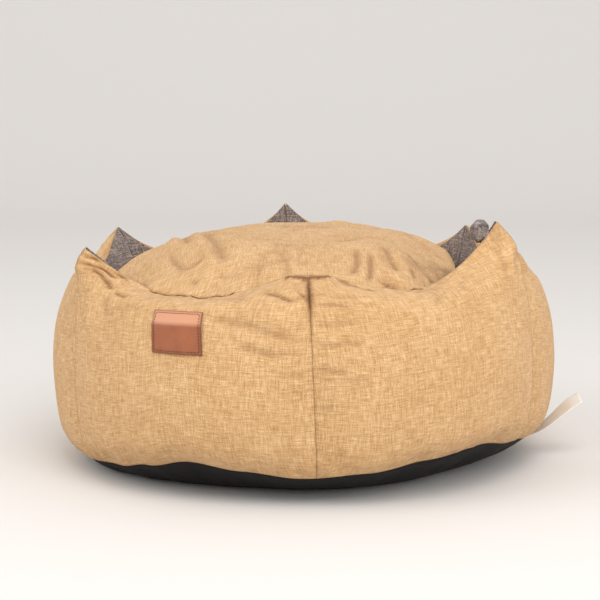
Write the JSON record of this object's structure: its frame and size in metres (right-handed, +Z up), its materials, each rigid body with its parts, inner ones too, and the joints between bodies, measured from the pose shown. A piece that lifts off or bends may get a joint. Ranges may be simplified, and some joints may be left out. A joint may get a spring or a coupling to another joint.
{
  "type": "round pet bed",
  "caption": "Round stuffed pet bed of linen-look cloth: a peaked, seamed wall leans in round a domed cushion over a dark base cloth, with a small bare patch.",
  "frame": {"origin": "middle of the flat underside, on the floor", "axes": "+Z up; -Y is the front, the side with the leather patch; +X is the bed's right seen from the front, the side with the care label"},
  "size_m": [0.5259, 0.4854, 0.2483],
  "materials": {
    "tan_linen": "coarse linen-look weave, matte",
    "grey_linen": "flecked grey weave, matte",
    "base_cloth": "dark non-slip cloth, matte",
    "brown_leather": "smooth, low sheen",
    "white_satin": "smooth satin tape"
  },
  "bodies": {
    "root": {"wall_1": "tan_linen", "wall_2": "tan_linen", "wall_3": "tan_linen", "wall_4": "tan_linen", "wall_5": "tan_linen", "wall_6": "tan_linen", "lining_1": "grey_linen", "lining_2": "grey_linen", "lining_3": "grey_linen", "lining_4": "grey_linen", "lining_5": "grey_linen", "lining_6": "grey_linen", "cushion": "tan_linen", "base_panel": "base_cloth", "leather_patch": "brown_leather", "care_label": "white_satin"}
  },
  "joints": []
}
